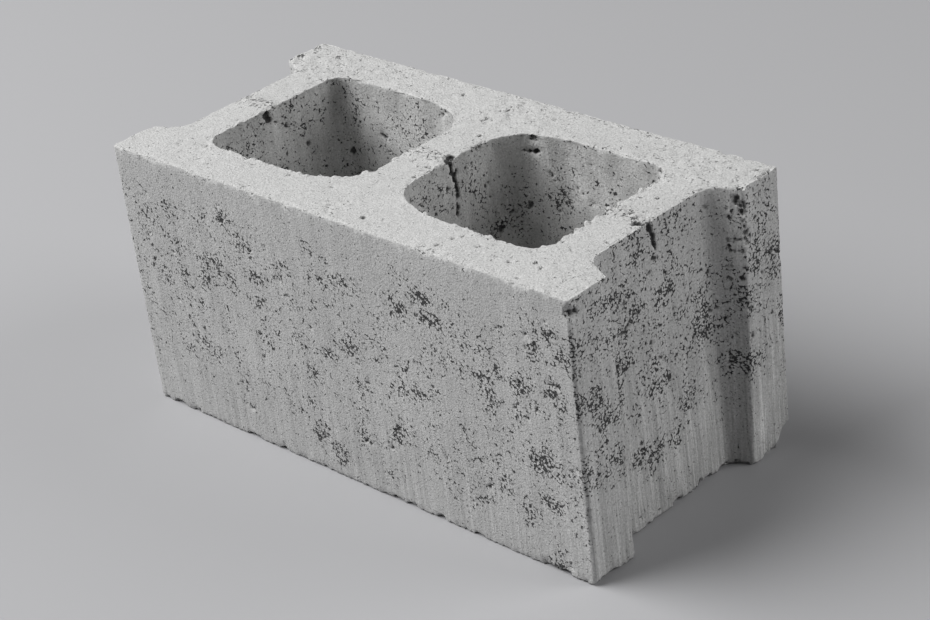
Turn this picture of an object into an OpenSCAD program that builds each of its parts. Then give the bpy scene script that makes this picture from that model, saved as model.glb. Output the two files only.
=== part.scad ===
// Two-core flanged concrete block, one solid cast in a steel mould.
// Frame: origin at the centre of the bottom face, +X along the length, +Y across, +Z up.

/* [Block] */
// Length over the two flanged ends
block_length = 397; // [300:1:480]
// Width across the two face shells
block_width = 194; // [150:1:260]
// Height between the two bed faces
block_height = 194; // [90:1:250]
// Rounding of the four standing edges
arris_radius = 2.5; // [1:0.5:6]

/* [Cores] */
// Thickness of each long face shell at the top bed
face_shell = 35; // [26:0.5:45]
// Thickness of the centre web at the top bed
centre_web = 33; // [24:0.5:45]
// Thickness of each end web at the top bed, from the recess floor to the core
end_web = 30.5; // [24:0.5:38]
// Corner radius of a core beside the end web
core_end_radius = 15; // [8:0.5:20]
// Corner radius of a core beside the centre web
core_web_radius = 30; // [20:0.5:38]
// How far each core side has drawn in by the centre web, so the web meets the shell in a thick haunch
haunch_taper = 4; // [1:0.5:8]
// Length of that drawn-in part of the side
haunch_length = 15.5; // [8:0.5:20]
// How much every core wall draws in from the top bed to the bottom bed
core_draft = 3; // [1:0.25:4]

/* [End recesses] */
// Depth of the recess in each end, at the top bed
recess_depth = 21; // [14:0.5:26]
// Width of the recess at the end face, at the top bed
recess_mouth = 126; // [96:1:130]
// Angle at which each side of the recess splays out to the end face
recess_splay = 25; // [10:1:32]
// Radius in the inner corners of the recess, at the top bed
recess_radius = 13; // [8:0.5:16]
// Radius in the inner corners of the recess, at the bottom bed
recess_toe_radius = 7; // [4:0.5:12]
// How much the recess floor comes forward from the top bed to the bottom bed
recess_floor_draft = 6.5; // [1:0.25:8]
// How much each side of the mouth draws in from the top bed to the bottom bed
recess_side_draft = 3.5; // [1:0.25:5]

/* [Hidden] */
$fn = 96;
half_length = block_length / 2;
half_width = block_width / 2;
// How far each cut runs past the bed faces
past = 5;
// Thickness of the end discs that each cut is stretched between
disc = 0.02;
recess_floor_x = half_length - recess_depth;
core_half_width = half_width - face_shell;
core_web_x = centre_web / 2;
core_end_x = recess_floor_x - end_web;
// Both corner radii stay within half the width of the core they round
web_radius = min(core_web_radius, core_half_width - haunch_taper - 1);
end_radius = min(core_end_radius, core_half_width - 1);
web_corner_x = core_web_x + web_radius;
web_corner_y = core_half_width - haunch_taper - web_radius;
end_corner_x = core_end_x - end_radius;
end_corner_y = core_half_width - end_radius;
shoulder_x = web_corner_x + haunch_length;
shoulder_y = core_half_width - web_radius;
// Levels of the two end discs, as shares of the height above the bottom bed
low = -past / block_height;
high = 1 + past / block_height;

// Corner circles on one side of a core as x, y, radius, at a share of the height above the bottom bed
function core_corners(level) = [
  [end_corner_x, end_corner_y, end_radius - core_draft * (1 - level)],
  [shoulder_x, shoulder_y, web_radius - core_draft * (1 - level)],
  [web_corner_x, web_corner_y, web_radius - core_draft * (1 - level)]
];

// Corner circle of a recess that touches its floor, and its flank through the mouth edge m, with radius r
function recess_corner(floor_x, m, r) = [
  floor_x + r,
  m - (half_length - floor_x - r) * tan(recess_splay) - r / cos(recess_splay),
  r
];

// Corner circles on one side of a recess: the inner corner, and one moved out along the flank clear of the end face
function recess_corners(level) =
  let (
    drop = 1 - level,
    r = recess_radius - (recess_radius - recess_toe_radius) * drop,
    inner = recess_corner(recess_floor_x + recess_floor_draft * drop,
      recess_mouth / 2 - recess_side_draft * drop, r),
    reach = 2 * recess_depth
  )
  [inner, [inner[0] + reach, inner[1] + reach * tan(recess_splay), r]];

// The corner discs of a cut at one level, on both sides of the centre line.
module discs(corners, z) {
  for (c = corners, side = [-1, 1])
    translate([c[0], side * c[1], z])
      cylinder(r = c[2], h = disc, $fn = 48);
}

// A cut through the whole height, stretched between its corner discs below and above the block.
module core_cut() {
  hull() {
    discs(core_corners(low), -past);
    discs(core_corners(high), block_height + past);
  }
}

module recess_cut() {
  hull() {
    discs(recess_corners(low), -past);
    discs(recess_corners(high), block_height + past);
  }
}

// The outside of the block with its four standing edges rounded.
module blank() {
  linear_extrude(height = block_height) {
    square([block_length - 2 * arris_radius, block_width], center = true);
    square([block_length, block_width - 2 * arris_radius], center = true);
    for (x = [-1, 1], y = [-1, 1])
      translate([x * (half_length - arris_radius), y * (half_width - arris_radius)])
        circle(r = arris_radius);
  }
}

// The whole cast block: shells, webs and flanged ends in one piece.
module block() {
  color([0.66, 0.65, 0.62])
    difference() {
      blank();
      for (end = [0, 1])
        mirror([end, 0, 0]) {
          core_cut();
          recess_cut();
        }
    }
}

block();
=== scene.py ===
import math

import bpy
import numpy as np
from mathutils import Matrix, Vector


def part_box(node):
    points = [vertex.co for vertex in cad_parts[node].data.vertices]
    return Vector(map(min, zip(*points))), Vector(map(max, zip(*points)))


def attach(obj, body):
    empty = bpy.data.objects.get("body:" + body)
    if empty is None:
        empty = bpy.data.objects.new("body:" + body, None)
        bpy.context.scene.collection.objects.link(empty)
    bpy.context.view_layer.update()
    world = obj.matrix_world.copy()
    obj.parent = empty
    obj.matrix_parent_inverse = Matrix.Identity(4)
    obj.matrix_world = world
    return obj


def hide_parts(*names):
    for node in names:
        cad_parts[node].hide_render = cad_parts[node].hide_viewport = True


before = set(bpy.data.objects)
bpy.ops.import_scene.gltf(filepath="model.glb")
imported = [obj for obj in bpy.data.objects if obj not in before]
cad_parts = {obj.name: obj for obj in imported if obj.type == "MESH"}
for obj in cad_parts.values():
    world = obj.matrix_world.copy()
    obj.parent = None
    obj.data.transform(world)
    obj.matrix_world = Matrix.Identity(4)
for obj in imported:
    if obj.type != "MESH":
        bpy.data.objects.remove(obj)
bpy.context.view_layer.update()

# ---------------------------------------------------------------------------------------------
# The casting: face shells, centre web, end webs and flanges, all one piece of dry-mixed concrete
# rammed into a steel mould and stripped while still green, so its walls taper and are open-grained.
# Its surface is a set of grids that share their edges, worked in millimetres.
MM = 0.001
_, cad_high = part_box("block")
HALF_LONG, HALF_WIDE, TALL = (cad_high[i] / MM for i in range(3))

SHELL, CENTRE_WEB, END_WEB = 35.0, 33.0, 30.5
CORE_END_R, CORE_WEB_R, CORE_DRAFT = 15.0, 30.0, 3.0
HAUNCH_TAPER, HAUNCH_RUN = 4.0, 15.5
RECESS_DEEP, RECESS_MOUTH, RECESS_SPLAY = 21.0, 63.0, math.radians(25)
RECESS_R, RECESS_TOE_R, FLOOR_DRAFT, SIDE_DRAFT = 13.0, 7.0, 6.5, 3.5
ARRIS_R, TOP_RIM, FOOT_RIM = 2.0, 0.6, 0.8
WEB_FACE, CORE_SIDE = CENTRE_WEB / 2, HALF_WIDE - SHELL
RECESS_FLOOR = HALF_LONG - RECESS_DEEP
CORE_END = RECESS_FLOOR - END_WEB
PATH_STEPS = 60


def outline(corners, radii):
    """Plan path from the first corner point to the last: straight runs joined by arcs that touch them.
    Every run and every arc is cut into PATH_STEPS equal parts, so paths with as many corners match."""
    c = np.array(corners, float)
    ahead = np.diff(c, axis=0)
    ahead /= np.linalg.norm(ahead, axis=1)[:, None]
    t = np.linspace(0, 1, PATH_STEPS, endpoint=False)[:, None]
    pieces, start = [], c[0]
    for i, r in enumerate(radii, 1):
        a, b = ahead[i - 1], ahead[i]
        turn = math.atan2(a[0] * b[1] - a[1] * b[0], a @ b)
        cut = r * math.tan(abs(turn) / 2)
        into = c[i] - a * cut
        to_centre = np.array([-a[1], a[0]]) * math.copysign(r, turn)
        cos, sin = np.cos(turn * t), np.sin(turn * t)
        spoke = -to_centre
        swung = np.hstack([spoke[0] * cos - spoke[1] * sin, spoke[0] * sin + spoke[1] * cos])
        arc = into + to_centre + swung
        pieces += [start + (into - start) * t, arc]
        start = c[i] + b * cut
    return np.vstack(pieces + [start + (c[-1] - start) * t, c[-1:]])


def outer_path(level):
    """Half of the outside, from the middle of the front to the middle of the back, at a share of the
    height: the recess floor leans out, and its mouth closes in, by its draft times the share still above."""
    floor = RECESS_FLOOR + FLOOR_DRAFT * (1 - level)
    mouth = RECESS_MOUTH - SIDE_DRAFT * (1 - level)
    inner = mouth - (HALF_LONG - floor) * math.tan(RECESS_SPLAY)
    r = RECESS_TOE_R + (RECESS_R - RECESS_TOE_R) * level
    front = [(HALF_LONG, -HALF_WIDE), (HALF_LONG, -mouth), (floor, -inner)]
    back = [(x, -y) for x, y in reversed(front)]
    radii = [ARRIS_R, ARRIS_R, r, r, ARRIS_R, ARRIS_R]
    return outline([(0, -HALF_WIDE)] + front + back + [(0, HALF_WIDE)], radii)


def core_path(level):
    """Round a core from the middle of the centre web and back to it, at a share of the height: the
    outline at the top, moved inwards everywhere by the draft times the share still above."""
    lean = math.atan2(HAUNCH_TAPER, HAUNCH_RUN)
    shoulder = WEB_FACE + CORE_WEB_R + HAUNCH_RUN - CORE_WEB_R * math.tan(lean / 2)
    haunch = CORE_SIDE - (shoulder - WEB_FACE) * math.tan(lean)
    inset = CORE_DRAFT * (1 - level)
    near = [(WEB_FACE + inset, -haunch + inset * math.tan(math.pi / 4 - lean / 2)),
            (shoulder + inset * math.tan(lean / 2), -CORE_SIDE + inset),
            (CORE_END - inset, -CORE_SIDE + inset)]
    far = [(x, -y) for x, y in reversed(near)]
    radii = [CORE_WEB_R - inset, CORE_WEB_R - inset, CORE_END_R - inset]
    return outline([(WEB_FACE + inset, 0)] + near + far + [(WEB_FACE + inset, 0)], radii + radii[::-1])


def stride(path, stops, counts):
    """Places along a path, as run numbers with fractions: each stretch between two stops is cut into its
    count of equal lengths."""
    along = np.r_[0, np.cumsum(np.linalg.norm(np.diff(path, axis=0), axis=1))]
    where = np.arange(len(path)) / PATH_STEPS
    marks = np.interp(stops, where, along)
    far = [np.linspace(a, b, n, endpoint=False) for a, b, n in zip(marks[:-1], marks[1:], counts)]
    return np.interp(np.r_[np.concatenate(far), marks[-1]], along, where)


def at(path, places):
    """Points of a path at the given places, each read between its two nearest samples."""
    where = np.arange(len(path)) / PATH_STEPS
    return np.stack([np.interp(places, where, path[:, i]) for i in (0, 1)], axis=-1)


def outward(path):
    """Unit vectors square to a path, on the right-hand side as it runs."""
    d = np.gradient(path, axis=0)
    d /= np.linalg.norm(d, axis=1)[:, None]
    return np.stack([d[:, 1], -d[:, 0]], axis=1)


def wall(path_at, places, heights, insets):
    """Drafted wall: at each height the plan path is read part way between its foot and its top, and
    pushed in by that row's inset. Rows go up, columns follow the path."""
    foot, top = at(path_at(0), places), at(path_at(1), places)
    square = at(outward(path_at(1)), places)
    square /= np.linalg.norm(square, axis=1)[:, None]
    level = (heights / TALL)[:, None, None]
    plan = foot + (top - foot) * level - square * insets[:, None, None]
    z = np.broadcast_to(heights[:, None, None], plan.shape[:2] + (1,))
    return np.concatenate([plan, z], axis=2)


def rim_rows(foot, top, middle):
    """Heights and insets up a wall: a quarter round at the foot, the given middle heights, one at the top."""
    a = np.linspace(0, math.pi / 2, 4)
    heights = [foot * (1 - np.cos(a[:-1])), middle, TALL - top * (1 - np.sin(a[1:]))]
    insets = [foot * (1 - np.sin(a[:-1])), middle * 0, top * (1 - np.cos(a[1:]))]
    return np.concatenate(heights), np.concatenate(insets)


# Places that face each other on the whole outside loop and round a core, counted in runs of the path.
# On the outside loop, -1 to 0 and 13 to 14 lie along the centre line of the block.
OUTSIDE_STOPS = np.array([-1, 0, 0.29, 0.67, 1.5, 3.5, 5.5, 6.5, 7.5, 9.5, 11.5, 12.33, 12.71, 13, 14])
CORE_STOPS = np.array([0, 1.5, 4, 5, 5.35, 5.7, 6.12, 6.5, 6.88, 7.3, 7.65, 8, 9, 11.5, 13])
FRONT, END, BACK = slice(1, 4), slice(4, 10), slice(10, 13)
FINE_STEP, EVEN_STEP, COARSE_STEP = 1.0, 1.2, 2.4
WALL_ROWS, CORE_ROWS, TOP_RINGS, FOOT_RINGS = 190, 110, 33, 14
points, quads, edge_gap, total = [], [], [], 0


def lay(grid, flip, gap):
    """Adds one grid of points to the surface, four-sided faces between its rows and columns."""
    global total
    rows, cols = grid.shape[:2]
    i = (np.arange(rows - 1)[:, None] * cols + np.arange(cols - 1)).ravel() + total
    faces = np.stack([i, i + 1, i + 1 + cols, i + cols], axis=1)
    points.append(grid.reshape(-1, 3))
    quads.append(faces[:, ::-1] if flip else faces)
    edge_gap.append(np.broadcast_to(gap, (rows, cols)).ravel())
    total += rows * cols


# Rows are even up the outside, and closer towards the top of a core, where they can be seen. The right-hand
# end and the front have the finest columns.
outer_rows = rim_rows(FOOT_RIM, TOP_RIM, np.linspace(FOOT_RIM, TALL - TOP_RIM, WALL_ROWS))
fall = np.linspace(1, 0, CORE_ROWS)
core_depth = (TALL - TOP_RIM - FOOT_RIM) * (0.45 * fall + 0.55 * fall**2)
core_rows = rim_rows(FOOT_RIM, TOP_RIM, TALL - TOP_RIM - core_depth)
for side, end_step in ((1, FINE_STEP), (-1, COARSE_STEP)):
    outside = outer_path(1)
    centre_line = np.linspace((0, 0), (0, -HALF_WIDE), PATH_STEPS + 1)
    whole = np.vstack([centre_line[:-1], outside, -centre_line[::-1][1:]])
    spans = np.diff(np.interp(OUTSIDE_STOPS + 1, np.arange(len(whole)) / PATH_STEPS,
                              np.r_[0, np.cumsum(np.linalg.norm(np.diff(whole, axis=0), axis=1))]))
    steps = np.full(len(spans), EVEN_STEP)
    steps[FRONT], steps[END], steps[BACK] = FINE_STEP, end_step, COARSE_STEP
    counts = np.ceil(spans / steps).astype(int)
    lead = counts[0]
    places = stride(outside, OUTSIDE_STOPS[1:-1], counts[1:-1])
    round_core = stride(core_path(1), CORE_STOPS, counts)
    turned = np.array([side, 1, 1])
    flip = side < 0

    heights, insets = outer_rows
    skin = wall(outer_path, places, heights, insets)
    lay(skin * turned, flip, np.minimum(heights, TALL - heights)[:, None])
    heights, insets = core_rows
    bore = wall(core_path, round_core, heights, -insets)
    lay(bore * turned, not flip, np.minimum(heights, TALL - heights)[:, None])
    for row, rings, up in ((-1, TOP_RINGS, True), (0, FOOT_RINGS, False)):
        edge = skin[row]
        y = np.linspace(0, edge[0, 1], lead + 1)[:-1]
        lead_in = np.stack([y * 0, y, y * 0 + edge[0, 2]], axis=1)
        loop = np.vstack([lead_in, edge, (lead_in * (1, -1, 1))[::-1]])
        v = np.linspace(0, 1, rings)[:, None, None]
        ring = bore[row] + (loop - bore[row]) * v
        width = np.linalg.norm(loop - bore[row], axis=1)
        on_skin = np.zeros(len(loop), bool)
        on_skin[lead:-lead] = True
        gap = np.where(on_skin, np.minimum(v[..., 0], 1 - v[..., 0]), v[..., 0]) * width
        lay(ring * turned, up != flip, gap)

# Points of two grids that fall on the same thousandth of a millimetre become one
points, quads, edge_gap = np.vstack(points), np.vstack(quads), np.concatenate(edge_gap)
whole_number = np.round(points * 1000).astype(np.int64) + 500000
key = (whole_number[:, 0] << 42) + (whole_number[:, 1] << 21) + whole_number[:, 2]
_, first, number = np.unique(key, return_index=True, return_inverse=True)
points, edge_gap, quads = points[first], edge_gap[first], number[quads]


def make_mesh(name, places, faces):
    """A mesh of four-sided faces, in metres from places in millimetres."""
    mesh = bpy.data.meshes.new(name)
    mesh.vertices.add(len(places))
    mesh.vertices.foreach_set("co", (places * MM).astype(np.float32).ravel())
    mesh.loops.add(faces.size)
    mesh.loops.foreach_set("vertex_index", faces.astype(np.int32).ravel())
    mesh.polygons.add(len(faces))
    mesh.polygons.foreach_set("loop_start", np.arange(0, faces.size, 4, dtype=np.int32))
    mesh.polygons.foreach_set("use_smooth", np.ones(len(faces), bool))
    mesh.update(calc_edges=True)
    return mesh


block_mesh = make_mesh("cast_block", points, quads)
facing = np.zeros(len(points) * 3, np.float32)
block_mesh.vertex_normals.foreach_get("vector", facing)
facing = facing.reshape(-1, 3).astype(float)
WALL_LEAN = 0.6
on_wall = np.abs(facing[:, 2]) < WALL_LEAN


def cell_number(cell, seed):
    """A repeatable number from 0 to 1 for each whole-numbered cell: its three numbers times large primes,
    mixed by shifts and cut to 24 bits."""
    n = cell[..., 0] * 73856093 ^ cell[..., 1] * 19349663 ^ cell[..., 2] * 83492791 ^ seed * 6542989
    n = (n ^ (n >> 13)) * 1274126177
    n = (n ^ (n >> 16)) & 0xFFFFFF
    return n / 0xFFFFFF


def noise(p, size, seed):
    """Smooth random field from -1 to 1: the eight corner numbers of the cell that holds a point, blended
    by the smoothed fractions of the point's place in the cell."""
    q = p / size
    base = np.floor(q).astype(np.int64)
    f = q - base
    f = f * f * (3 - 2 * f)
    value = 0
    for corner in np.ndindex(2, 2, 2):
        weight = np.prod(np.where(corner, f, 1 - f), axis=-1)
        value = value + weight * cell_number(base + corner, seed)
    return value * 2 - 1


# Points sorted by their x, so that a mark finds those near it, and slightly shaken, so its edge is ragged
by_x = np.argsort(points[:, 0])
x_in_order = points[by_x, 0]
shaken = points + 0.6 * np.stack([noise(points, 2.2, seed) for seed in (11, 12, 13)], axis=1)


def marks(places, radii, amounts, towards=None, soft=False):
    """The largest of many local marks at each point of the surface. A mark is its amount times the root of
    1 minus the squared distance from its middle in radii, or, for a soft one, times a bell curve of that
    distance. With a direction given, only surface that faces that way takes it."""
    places = np.atleast_2d(places).astype(float)
    radii = np.asarray(radii, float)
    radii = np.broadcast_to(radii if radii.ndim > 1 else radii.reshape(-1, 1), places.shape)
    amounts = np.broadcast_to(amounts, len(places))
    reach = 2.2 if soft else 1.0
    first = np.searchsorted(x_in_order, places[:, 0] - reach * radii[:, 0] - 1)
    last = np.searchsorted(x_in_order, places[:, 0] + reach * radii[:, 0] + 1)
    most = np.zeros(len(points))
    for a, b, place, radius, amount in zip(first, last, places, radii, amounts):
        near = by_x[a:b]
        far = (((shaken[near] - place) / radius) ** 2).sum(axis=1)
        near, far = near[far < reach**2], far[far < reach**2]
        most[near] = np.maximum(most[near], amount * (np.exp(-far) if soft else np.sqrt(1 - far)))
    return most if towards is None else most * (facing @ towards > 0.3)


# Patches where the mix was too dry to close against the mould: middles on the front face as x and height
FRONT_PATCHES = np.array([
    (-195, 163), (-178, 163), (-172, 153), (-150, 160), (-120, 163), (-95, 168), (-70, 163), (-85, 152),
    (-78, 150), (-180, 135), (-160, 138), (-147, 132), (-120, 130), (-108, 127), (-175, 125), (-178, 112),
    (-165, 105), (-190, 115), (-145, 108), (-125, 110), (-118, 115), (-100, 120), (-85, 115), (-72, 113),
    (-70, 130), (-50, 140), (-45, 145), (-15, 165), (-12, 148), (12, 150), (20, 150), (60, 147),
    (78, 160), (85, 148), (108, 147), (65, 168), (8, 105), (15, 103), (18, 110), (38, 113),
    (57, 105), (75, 112), (50, 88), (62, 88), (70, 92), (82, 98), (125, 118), (130, 105),
    (128, 98), (135, 128), (150, 103), (155, 125), (165, 115), (170, 152), (165, 168), (178, 168),
    (190, 155), (180, 130), (185, 120), (170, 82), (165, 75), (180, 72), (195, 75), (15, 78),
    (-30, 72), (-40, 92), (-10, 93), (-70, 85), (-135, 93), (-190, 85), (-155, 52), (-128, 56),
    (-138, 62), (-50, 40), (-35, 50), (-30, 28), (-97, 23), (-98, 44), (25, 42), (45, 54),
    (10, 40), (88, 30), (108, 28), (118, 32), (152, 34), (135, 52), (170, 48), (35, 20),
    (-15, 18), (173, 7)], float)
# The same on the near end, as y and height
END_PATCHES = np.array([
    (-75, 178), (-85, 163), (-98, 163), (-92, 148), (-65, 155), (-95, 125), (-82, 122), (-75, 105),
    (-65, 105), (-78, 92), (-98, 80), (-85, 70), (-68, 77), (-50, 172), (-45, 162), (-38, 160),
    (-25, 155), (-15, 178), (-35, 135), (-32, 117), (-40, 115), (-20, 145), (5, 143), (15, 150),
    (20, 125), (40, 128), (38, 115), (42, 103), (-8, 105), (-5, 88), (-50, 97), (-55, 65),
    (17, 67), (4, 46), (-18, 44), (-30, 50), (75, 155), (75, 147), (70, 140), (88, 143),
    (95, 135), (86, 127), (65, 118), (62, 75), (70, 72), (95, 95)], float)


def open_patches(middles, direction, seed, reach=(10.0, 8.5), least=0.4):
    """Open grain round each middle, given as the two coordinates of a wall that faces a direction."""
    rng = np.random.default_rng(seed)
    lies = int(np.argmax(np.abs(direction)))
    off = np.sign(direction[lies]) * ((HALF_LONG - RECESS_DEEP / 2) if lies == 0 else HALF_WIDE)
    places = np.insert(middles, lies, off, axis=1)
    radii = np.insert(rng.uniform(0.7, 1.3, middles.shape) * reach, lies, 40, axis=1)
    return marks(places, radii, rng.uniform(least, 1.0, len(middles)), direction, soft=True)


def strewn(count, u_range, v_range, seed):
    """Random middles over a stretch of a wall."""
    rng = np.random.default_rng(seed)
    return np.stack([rng.uniform(*u_range, count), rng.uniform(*v_range, count)], axis=1)


X, Y, Z = points.T
in_core = (np.abs(X) < CORE_END + 2) & (np.abs(Y) < CORE_SIDE + 2) & on_wall
grain = open_patches(FRONT_PATCHES, (0, -1, 0), 3) * (0.9 + 0.15 * X / HALF_LONG)
grain = np.maximum(grain, open_patches(END_PATCHES, (1, 0, 0), 4, (12, 11), 0.6))
grain = np.maximum(grain, open_patches(strewn(85, (-195, 195), (22, 170), 5), (0, 1, 0), 5))
grain = np.maximum(grain, open_patches(strewn(46, (-95, 95), (25, 172), 6), (-1, 0, 0), 6, (9, 8), 0.6))
core_open = np.clip(noise(points, 19, 44) + 0.35 * noise(points, 7, 42), 0, 1)
grain = np.where(in_core, 0.11 + 0.11 * (Z < 150) + 0.42 * core_open, grain)

# A thinner scatter of open grain over the rest of the walls, kept off the top and the foot
on_end = on_wall & ~in_core & (np.abs(Y) < HALF_WIDE - 1)
on_front = on_wall & ~in_core & (np.abs(Y) > HALF_WIDE - 3)
band = np.clip((Z - 25) / 20, 0, 1) * np.clip((TALL - 20 - Z) / 15, 0, 1)
grain = np.maximum(grain, np.where(on_front, band * np.clip(0.2 + 0.3 * noise(points, 15, 39), 0, 1), 0))
above_foot = np.clip((Z - 30) / 60, 0, 1)
grain = np.maximum(grain, np.where(on_end, 0.27 * above_foot * (1 + noise(points, 16, 40)), 0))


def flank(share, drop):
    """A place on the far side of the recess: this share of the way from its floor to its mouth, and this far
    below the top."""
    inward = RECESS_DEEP * (1 - share)
    return HALF_LONG - inward, RECESS_MOUTH - inward * math.tan(RECESS_SPLAY), TALL - drop


# Holes that trapped air or a lost stone left, as x, y, height, radius and depth. The large ones are placed
# one by one on the named faces, and the small ones are strewn at random over the surface. Each hole is four
# overlapping lobes, so that it isn't round.
LARGE_HOLES = np.array([
    (WEB_FACE + 16, CORE_SIDE - 6, TALL - 10, 3.0, 4), (WEB_FACE + 21, CORE_SIDE - 4, TALL - 12, 2.8, 4),
    (WEB_FACE + 15, CORE_SIDE - 8, TALL - 50, 2.8, 3), (WEB_FACE, 30, TALL - 30, 2.2, 3),
    (WEB_FACE, 30, TALL - 65, 2.4, 2), (-CORE_END, -5, TALL - 6, 3.6, 5), (-CORE_END, 25, TALL - 40, 2.8, 3),
    (-CORE_END + 7, CORE_SIDE - 3, TALL - 55, 2.8, 3), (-CORE_END + 40, CORE_SIDE, TALL - 40, 2.8, 3),
    (WEB_FACE - 4, 4, TALL, 3.6, 5), (RECESS_FLOOR - 5, -5, TALL, 3.0, 4),
    (RECESS_FLOOR - 15, 3, TALL, 2.0, 2), (140, -80, TALL, 1.6, 2), (160, -75, TALL, 1.6, 2),
    (190, 85, TALL, 2.0, 2.5),
    (*flank(0.8, 5), 2.8, 2.5), (*flank(1, 12), 2.6, 2.5), (*flank(0.6, 20), 2.2, 2),
    (*flank(1, 30), 2.6, 2.5), (*flank(0.5, 38), 2.6, 3.5), (*flank(0.45, 60), 2.3, 2.5),
    (HALF_LONG, 5 - HALF_WIDE, TALL - 10, 2.8, 3), (HALF_LONG, 65, TALL / 2 - 5, 2.5, 2)])
SMALLEST = 1.1
rng = np.random.default_rng(50)
upper = Z > TALL / 2
small_holes = []
for region, count in ((in_core & upper, 110), (on_end & upper, 26), ((Z > TALL - 1) & ~on_wall, 34)):
    middles = points[rng.choice(np.flatnonzero(region), count)]
    small_holes.append(np.column_stack([middles, rng.uniform(1.3, 2.1, count), rng.uniform(1.5, 2.5, count)]))
lobes = np.repeat(np.vstack([LARGE_HOLES, *small_holes]), 4, axis=0)
lobes[:, :3] += rng.normal(0, 0.42, (len(lobes), 3)) * lobes[:, 3:4]
lobes[:, 3] = np.maximum(lobes[:, 3] * rng.uniform(0.5, 0.85, len(lobes)), SMALLEST)
holes = marks(lobes[:, :3], lobes[:, 3], lobes[:, 4] * rng.uniform(0.6, 1, len(lobes)))

# Cracks and torn lines, each a run of small hollows between two points, with a radius and a depth
CRACKS = [
    ((WEB_FACE, 0, TALL), (WEB_FACE, 5, TALL - 20), 2.0, 4),
    ((WEB_FACE, 5, TALL - 20), (WEB_FACE + 1, 2, TALL - 40), 1.5, 3),
    ((RECESS_FLOOR, 0, TALL), (RECESS_FLOOR + 1, 3, TALL - 18), 2.0, 4),
    ((RECESS_FLOOR + 1, 3, TALL - 18), (RECESS_FLOOR + 1, 1, TALL - 26), 1.5, 3),
    ((-CORE_END, 0, TALL - 10), (-CORE_END, 3, TALL - 20), 1.0, 2),
    ((WEB_FACE + 35, CORE_SIDE, TALL - 45), (WEB_FACE + 70, CORE_SIDE, TALL - 40), 0.9, 1.4),
    (flank(0.8, 7), flank(0.95, 18), 1.9, 2.5), (flank(0.95, 22), flank(1, 34), 1.5, 2.2)]
CRACKS += [(flank(0.45, drop), flank(0.95, drop), 1.4, 2) for drop in (35, 42, 53, 61)]
for i, (start, end, radius, deep) in enumerate(CRACKS):
    start, end = np.array(start, float), np.array(end, float)
    rng = np.random.default_rng(60 + i)
    spacing = 0.7 * radius if radius > 1.2 else 1.8
    beads = max(3, int(np.linalg.norm(end - start) / spacing))
    line = start + (end - start) * np.linspace(0, 1, beads)[:, None] + rng.normal(0, 0.7, (beads, 3))
    wide = np.maximum(radius * rng.uniform(0.6, 1.2, beads), SMALLEST)
    holes = np.maximum(holes, marks(line, wide, deep * rng.uniform(0.4, 1, beads)))

# Rough strips across the top of the three webs, where the bar that held the core moulds lay, and the small
# burrs that the moulds left standing on the arrises.
over_web = (np.abs(X) < WEB_FACE + 3) | (np.abs(X) > CORE_END - 1)
bar_mark = np.where(over_web & (Z > TALL - 2), np.exp(-((Y / 8) ** 4)), 0)
BURRS = 12
rng = np.random.default_rng(80)
burr_x = rng.uniform(WEB_FACE + 15, CORE_END - 10, BURRS) * np.repeat((1, -1), BURRS // 2)
burrs = np.stack([burr_x, np.full(BURRS, 1 - CORE_SIDE), np.full(BURRS, TALL - 1)], axis=1)
burr_size = rng.uniform(1.6, 2.4, BURRS)
raised = marks(burrs, burr_size, burr_size * 0.55)
raised += bar_mark * (0.3 + 0.9 * noise(points, 4.5, 43) + 0.5 * noise(points, 2.2, 44))
by_core = (np.abs(X) < CORE_END + 3) & (np.abs(Y) < CORE_SIDE + 3) & (Z > TALL - 4)
core_rim = np.exp(-((edge_gap / 1.3) ** 2)) * by_core
lump = np.clip(noise(points, 5, 47) + 0.5 * noise(points, 2.5, 48), 0, 1)
lump = lump * np.clip(noise(points, 21, 49) + 0.65, 0, 1)
raised += core_rim * lump * 2.6

# Voids in the open patches: the random fields cut at a level that falls as the grain opens.
void_field = 0.6 * noise(points, 2.3, 31) + 0.5 * noise(points, 4.5, 32)
void_level = np.where(on_wall, 0.77, 0.95)
voids = np.clip((void_field - void_level + 0.45 * np.maximum(grain, bar_mark * 0.8)) * 7, 0, 1.3)

# Relief all over, in millimetres: slow waves, the grain of the mix, and the upright drag lines that the mould
# leaves on the walls as it is drawn off, deepest low on the ends.
relief = 0.25 * noise(points, 55, 21) + 0.13 * noise(points, 17, 22) + 0.1 * noise(points, 5, 23)
drawn = points * (1, 1, 0.04)
drag = np.where(on_end, 0.11 + 0.3 * np.exp(-((Z / 100) ** 2)), 0.08)
relief += np.where(on_wall, drag * (noise(drawn, 3.5, 25) + noise(drawn, 9, 26)), 0.12 * noise(points, 3, 27))

# The top was struck off by hand: rough patches, most of them along the back
roughed = np.clip(0.12 + noise(points, 26, 71) + 0.5 * (Y > 52) + 0.5 * (edge_gap < 6), 0, 1)
struck = np.where(on_wall, 0, roughed) * upper
relief += struck * (0.8 * noise(points, 5, 72) + 0.7 * noise(points, 2.6, 73))

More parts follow.
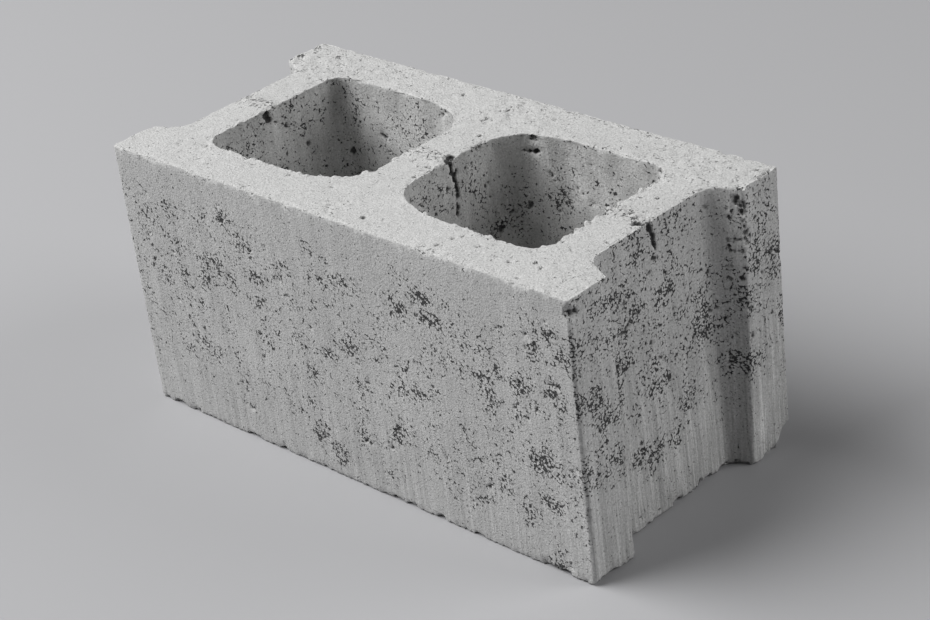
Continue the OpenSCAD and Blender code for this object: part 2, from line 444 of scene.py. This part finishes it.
# Crumbled arrises: a bevel whose width changes along the edge, so a point nearer the edge than that width
# sinks by the difference. It is wider at the foot, and slight up the outside corners.
jagged = np.abs(noise(points, 2.6, 28))
broken = np.clip(noise(points, 8, 29) + 0.5 * noise(points, 3.2, 30) - 0.2, 0, 1)
foot_share = np.where(Z < TALL / 2, np.where(on_end, 3.2, 2.4), 1.2)
bevel = np.clip((0.2 + 1.0 * jagged + 2.2 * broken) * foot_share - edge_gap, 0, None)
arris_gap = np.maximum(HALF_LONG - np.abs(X), HALF_WIDE - np.abs(Y))
arris_bevel = np.clip(0.8 * jagged + 1.5 * broken - arris_gap, 0, None)
bevel = np.maximum(bevel, np.where(on_wall & ~in_core, arris_bevel, 0))
rim = np.exp(-np.minimum(edge_gap, arris_gap + 1) / 1.5)
points = points + facing * (relief + raised - bevel - np.maximum(holes, voids))[:, None]

# Pieces knocked off corners and arrises, as x, y, height of a ball's middle and its radius
BITES = np.array([
    (209, 107.5, -10.5, 30), (201.5, -98.5, 186, 6.5), (-202, 101, 198, 9), (-196, 88, 197.5, 5),
    (-192, 70, 197.5, 5), (198, 62, 197, 5), (-180, -99, -2.5, 6), (-98, -99.5, -2.5, 6), (36, -99.5, -3, 6),
    (170, -99, -3, 5), (201, -40, -3, 6), (202, -80, -4, 8), (-180, 0, 197.5, 5), (-183, 12, 197.5, 5),
    (60, 100, 197, 5), (-60, 100, 197, 6), (120, 100, -3, 7), (-202, 40, -4, 8), (-60, -100, 197, 4.2)])
for *middle, radius in BITES:
    spoke = points - middle
    gap = np.linalg.norm(spoke, axis=1)
    inside = (gap < radius).nonzero()[0]
    ragged = radius + 0.8 * noise(points[inside], 4, 45) + 0.4 * noise(points[inside], 1.8, 46)
    points[inside] = middle + spoke[inside] / gap[inside, None] * np.maximum(ragged, gap[inside])[:, None]
    grain[inside] = np.maximum(grain[inside], 0.5)

block_mesh.vertices.foreach_set("co", (points * MM).astype(np.float32).ravel())
block_mesh.update()
block = bpy.data.objects.new("cast_block", block_mesh)
bpy.context.scene.collection.objects.link(block)

# What the material needs to know at each point: damp-looking stains, with the whole front painted darker as
# shade, how deeply the wall is scored, and pale smears of paste, besides the open grain, the hollows and the
# arrises found above.
core_stain = 0.5 * noise(points * (1, 1, 0.6), 14, 51) + 0.45 * noise(points * (1, 1, 0.4), 5, 52)
stain_and_front_shade = np.where(in_core, core_stain, 0)
stain_and_front_shade += np.where(on_end, 0.25 * noise(points * (1, 1, 0.3), 12, 53) + 0.2 * noise(points, 30, 54), 0)
# The front face is painted darker overall as shade, besides its faint random stains
stain_and_front_shade += np.where(on_front, 0.12 * noise(points, 22, 55) - 0.16, 0)
scored = np.where(on_end, 1.0, 0.35) * (on_wall & ~in_core) * np.exp(-((Z / 100) ** 2))
smear = marks([(198.5, 67, 24), (198.5, -95, 178), (-105, -64, 194)], [(20, 5, 13), (8, 4, 6), (10, 3, 4)],
              (1, 1.1, 0.5), soft=True)
# The depths of the holes and voids go to the material, which paints them dark as shade
per_point = {
    "open_grain": np.maximum(grain, np.maximum(bar_mark * 0.45, struck * 0.24)),
    "hollow_shade": np.maximum(holes * 0.7, voids), "rim": rim, "drawn_wall": on_wall.astype(float),
    "smear": smear, "stain_and_front_shade": stain_and_front_shade, "scored": scored}
for name, values in per_point.items():
    attribute = block_mesh.attributes.new(name, "FLOAT", "POINT")
    attribute.data.foreach_set("value", values.astype(np.float32))
KEPT_SHARE = 0.26
thin = block.modifiers.new("thin_flat_parts", "DECIMATE")
thin.ratio = KEPT_SHARE


class Wire:
    """One output of a shader node. Arithmetic on it adds Math nodes, and made() adds any other node."""

    def __init__(self, tree, socket=None):
        self.tree, self.socket = tree, socket

    def made(self, kind, settings=None, out=0, **inputs):
        """Adds a node of a type, sets its settings, then fills its inputs, named or numbered as _0, _1."""
        node = self.tree.nodes.new("ShaderNode" + kind)
        for key, value in (settings or {}).items():
            setattr(node, key, value)
        for key, value in inputs.items():
            socket = node.inputs[int(key[1:]) if key[0] == "_" else key.replace("_", " ")]
            if isinstance(value, Wire):
                self.tree.links.new(value.socket, socket)
            else:
                socket.default_value = value
        return Wire(self.tree, node.outputs[out])

    def math(self, operation, *values, clamp=False):
        """Adds a Math node that works on the values."""
        return self.made("Math", {"operation": operation, "use_clamp": clamp},
                         **{f"_{i}": v for i, v in enumerate(values)})

    def __add__(self, other):
        return self.math("ADD", self, other)

    def __sub__(self, other):
        return self.math("SUBTRACT", self, other)

    def __rsub__(self, other):
        return self.math("SUBTRACT", other, self)

    def __mul__(self, other):
        return self.math("MULTIPLY", self, other)

    __radd__, __rmul__ = __add__, __mul__

    def above(self, level, softness):
        """0 below the level, 1 past it, with a straight slope of the given width between."""
        return self.math("MULTIPLY", self - level, 1 / softness, clamp=True)

    def most(self, other):
        """The larger of two values."""
        return self.math("MAXIMUM", self, other)

    def blend(self, other, share):
        """Colour mixed towards another by a share."""
        return self.made("Mix", {"data_type": "RGBA"}, out=2, _0=share, _6=self, _7=other)


def new_material(name):
    """A material, a Wire that starts its node expressions, and its surface shader."""
    material = bpy.data.materials.new(name)
    material.use_nodes = True
    return material, Wire(material.node_tree), material.node_tree.nodes["Principled BSDF"]


# Bare grey concrete: cement paste with sand showing, pinholed where the mix was dry, streaked down the walls;
# its pinholes, gaps and hollows get painted shade.
# The near-black gap colour is painted shade for the pits, gaps and pinholes
PASTE_TONE, GAP_SHADE_COLOUR = 0.52, (0.03, 0.03, 0.031, 1)
concrete, new, surface = new_material("bare_concrete")
place = new.made("TexCoord", out=3)


def speckle(size_mm, detail=2.0, rough=0.5, warp=0.0, at_place=place):
    """Smooth random field round 0.5, with features of the given size."""
    return new.made("TexNoise", Vector=at_place, Scale=1 / (size_mm * MM), Detail=detail, Roughness=rough,
                    Distortion=warp)


def held(name):
    """What the mesh holds under this name at each point."""
    return new.made("Attribute", {"attribute_name": name}, out=2)


open_grain, hollow_shade_in, wall_share = held("open_grain"), held("hollow_shade"), held("drawn_wall")
at_rim, pale, stain_and_front_shade_in, scraped = held("rim"), held("smear"), held("stain_and_front_shade"), held("scored")
down = new.made("Mapping", Vector=place, Scale=(1, 1, 0.04))
streak = speckle(2.2, 3, 0.6, at_place=down) * 0.6 + speckle(8, 3, 0.5, at_place=down) * 0.4
mottle = speckle(45, 4, 0.55)
patchy = speckle(9, 3, 0.6)
sand = speckle(1.2, 1, 0.5)
lumps = speckle(3.4, 2, 0.6)
fray = speckle(7.5, 2, 0.6)
loose = speckle(24, 3, 0.6).above(0.5, 0.25)
clump = (lumps - 0.5) * 1.7 + (fray - 0.5) * 1.3
openness = (open_grain * 1.25 + clump).above(0.02, 0.95)
swirl = new.made("TexNoise", out=1, Vector=place, Scale=1 / (1.6 * MM), Detail=1)
bent = new.made("VectorMath", {"operation": "MULTIPLY_ADD"}, _0=swirl, _1=(1.2 * MM,) * 3, _2=place)


def from_grain(spacing_mm):
    """Distance to the middle of the nearest of many round grains, counted in their spacing."""
    return new.made("TexVoronoi", {"feature": "F1"}, Vector=bent, Scale=1 / (spacing_mm * MM))


# Painted shade: gaps are painted dark where no grain is near, at a distance that falls as the patch opens up,
# and so are the pinholes and the hollows below
grain_gap = from_grain(1.55)
fine_gap_shade = (grain_gap + openness * 0.42).above(0.95, 0.07)
wide_gap_shade = (from_grain(2.5) + openness * 0.36).above(1.02, 0.07)
pinhole_shade = (speckle(1.4, 1, 0.5, 0.3) + loose * 0.012 + openness * 0.03).above(0.70, 0.04)
clean = 1 - (1 - wall_share) * (1 - openness) * 0.75
pit_and_gap_shade = fine_gap_shade.most(wide_gap_shade).most(pinhole_shade * 0.65) * clean
pit_and_gap_shade = pit_and_gap_shade.most(hollow_shade_in.above(0.35, 0.8) * 0.95)

# Grey of the paste: clouded and sandy, streaked down the walls, stained, with the whole front painted darker
# as shade, light on each grain, pale at the arrises
tone = PASTE_TONE * (0.53 + mottle * 0.16 + patchy * 0.14 + sand * 0.64)
tone = tone * (1 + (streak - 0.5) * wall_share * (scraped * 1.5 + 0.55)) * (1 + stain_and_front_shade_in * 0.3)
tone = tone * (1 + openness * (0.5 - grain_gap) * 0.5)
tone = tone * (1 + at_rim * 0.05 + pale * 0.3)
grey = new.made("CombineColor", Red=tone, Green=tone, Blue=tone * 0.99)
# Painted shade: the gaps, pinholes and hollows are mixed towards near-black
colour = grey.blend(GAP_SHADE_COLOUR, pit_and_gap_shade * 0.93)
lift = sand * (0.9 - wall_share * 0.45) + streak * wall_share * (scraped * 1.2 + 0.3) + patchy * 0.25 - pit_and_gap_shade
concrete.node_tree.links.new(colour.socket, surface.inputs["Base Color"])
bump = new.made("Bump", Strength=1.0, Distance=0.0009, Height=lift)
concrete.node_tree.links.new(bump.socket, surface.inputs["Normal"])
concrete.node_tree.links.new((0.86 + patchy * 0.12).socket, surface.inputs["Roughness"])
surface.inputs["Specular IOR Level"].default_value = 0.25
block_mesh.materials.append(concrete)
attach(block, "root")
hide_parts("block")

# ---------------------------------------------------------------------------------------------
# The stand: a plain pale floor that the block rests on, soft studio light, and the camera.
bpy.ops.mesh.primitive_plane_add(size=6, location=(0, 0, 0))
floor = bpy.context.object
floor.name = "floor"
FLOOR_GREY, WHITE = (0.40, 0.40, 0.41, 1), (1, 1, 1)
floor_paint, _, paint = new_material("pale_floor")
paint.inputs["Base Color"].default_value = FLOOR_GREY
paint.inputs["Roughness"].default_value = 0.9
floor.data.materials.append(floor_paint)

scene = bpy.context.scene
scene.view_settings.view_transform = "Standard"
world = bpy.data.worlds.new("studio")
scene.world = world
world.use_nodes = True
backdrop = world.node_tree.nodes["Background"]
backdrop.inputs["Color"].default_value = (*WHITE, 1)
backdrop.inputs["Strength"].default_value = 0.03


def aim(thing, azimuth, elevation, distance, target, roll=0.0):
    """Places a thing on a sphere round a target, azimuth 0 being in front and 90 at the right, looking in."""
    a, e, r = (math.radians(v) for v in (azimuth, elevation, roll))
    back = np.array([math.sin(a) * math.cos(e), -math.cos(a) * math.cos(e), math.sin(e)])
    right = np.cross((0, 0, 1), back)
    right /= np.linalg.norm(right)
    up = np.cross(back, right)
    right, up = right * math.cos(r) + up * math.sin(r), up * math.cos(r) - right * math.sin(r)
    matrix = Matrix(np.column_stack([right, up, back]).tolist()).to_4x4()
    matrix.translation = np.array(target) + back * distance
    thing.matrix_world = matrix


def area_light(name, azimuth, elevation, size, power):
    """A round white soft light of a size in metres and a power in watts, aimed at the middle of the block."""
    data = bpy.data.lights.new(name, "AREA")
    data.shape, data.size, data.energy, data.color = "DISK", size, power, WHITE
    light = bpy.data.objects.new(name, data)
    scene.collection.objects.link(light)
    aim(light, azimuth, elevation, LIGHT_AWAY, (0, 0, 0.1))


LIGHT_AWAY = 4.0
area_light("key", -52, 50, 3.4, 228)
area_light("fill", 125, 28, 2.6, 68)

VIEW_AZIMUTH, VIEW_ELEVATION, VIEW_ROLL = 46.42, 28.83, -7.07
VIEWPOINT = (0.9581, -0.8977, 0.8030)
lens = bpy.data.cameras.new("camera")
lens.sensor_width, lens.lens = 36, 88.78
camera = bpy.data.objects.new("camera", lens)
scene.collection.objects.link(camera)
aim(camera, VIEW_AZIMUTH, VIEW_ELEVATION, 0, VIEWPOINT, VIEW_ROLL)
scene.camera = camera

bpy.context.view_layer.update()
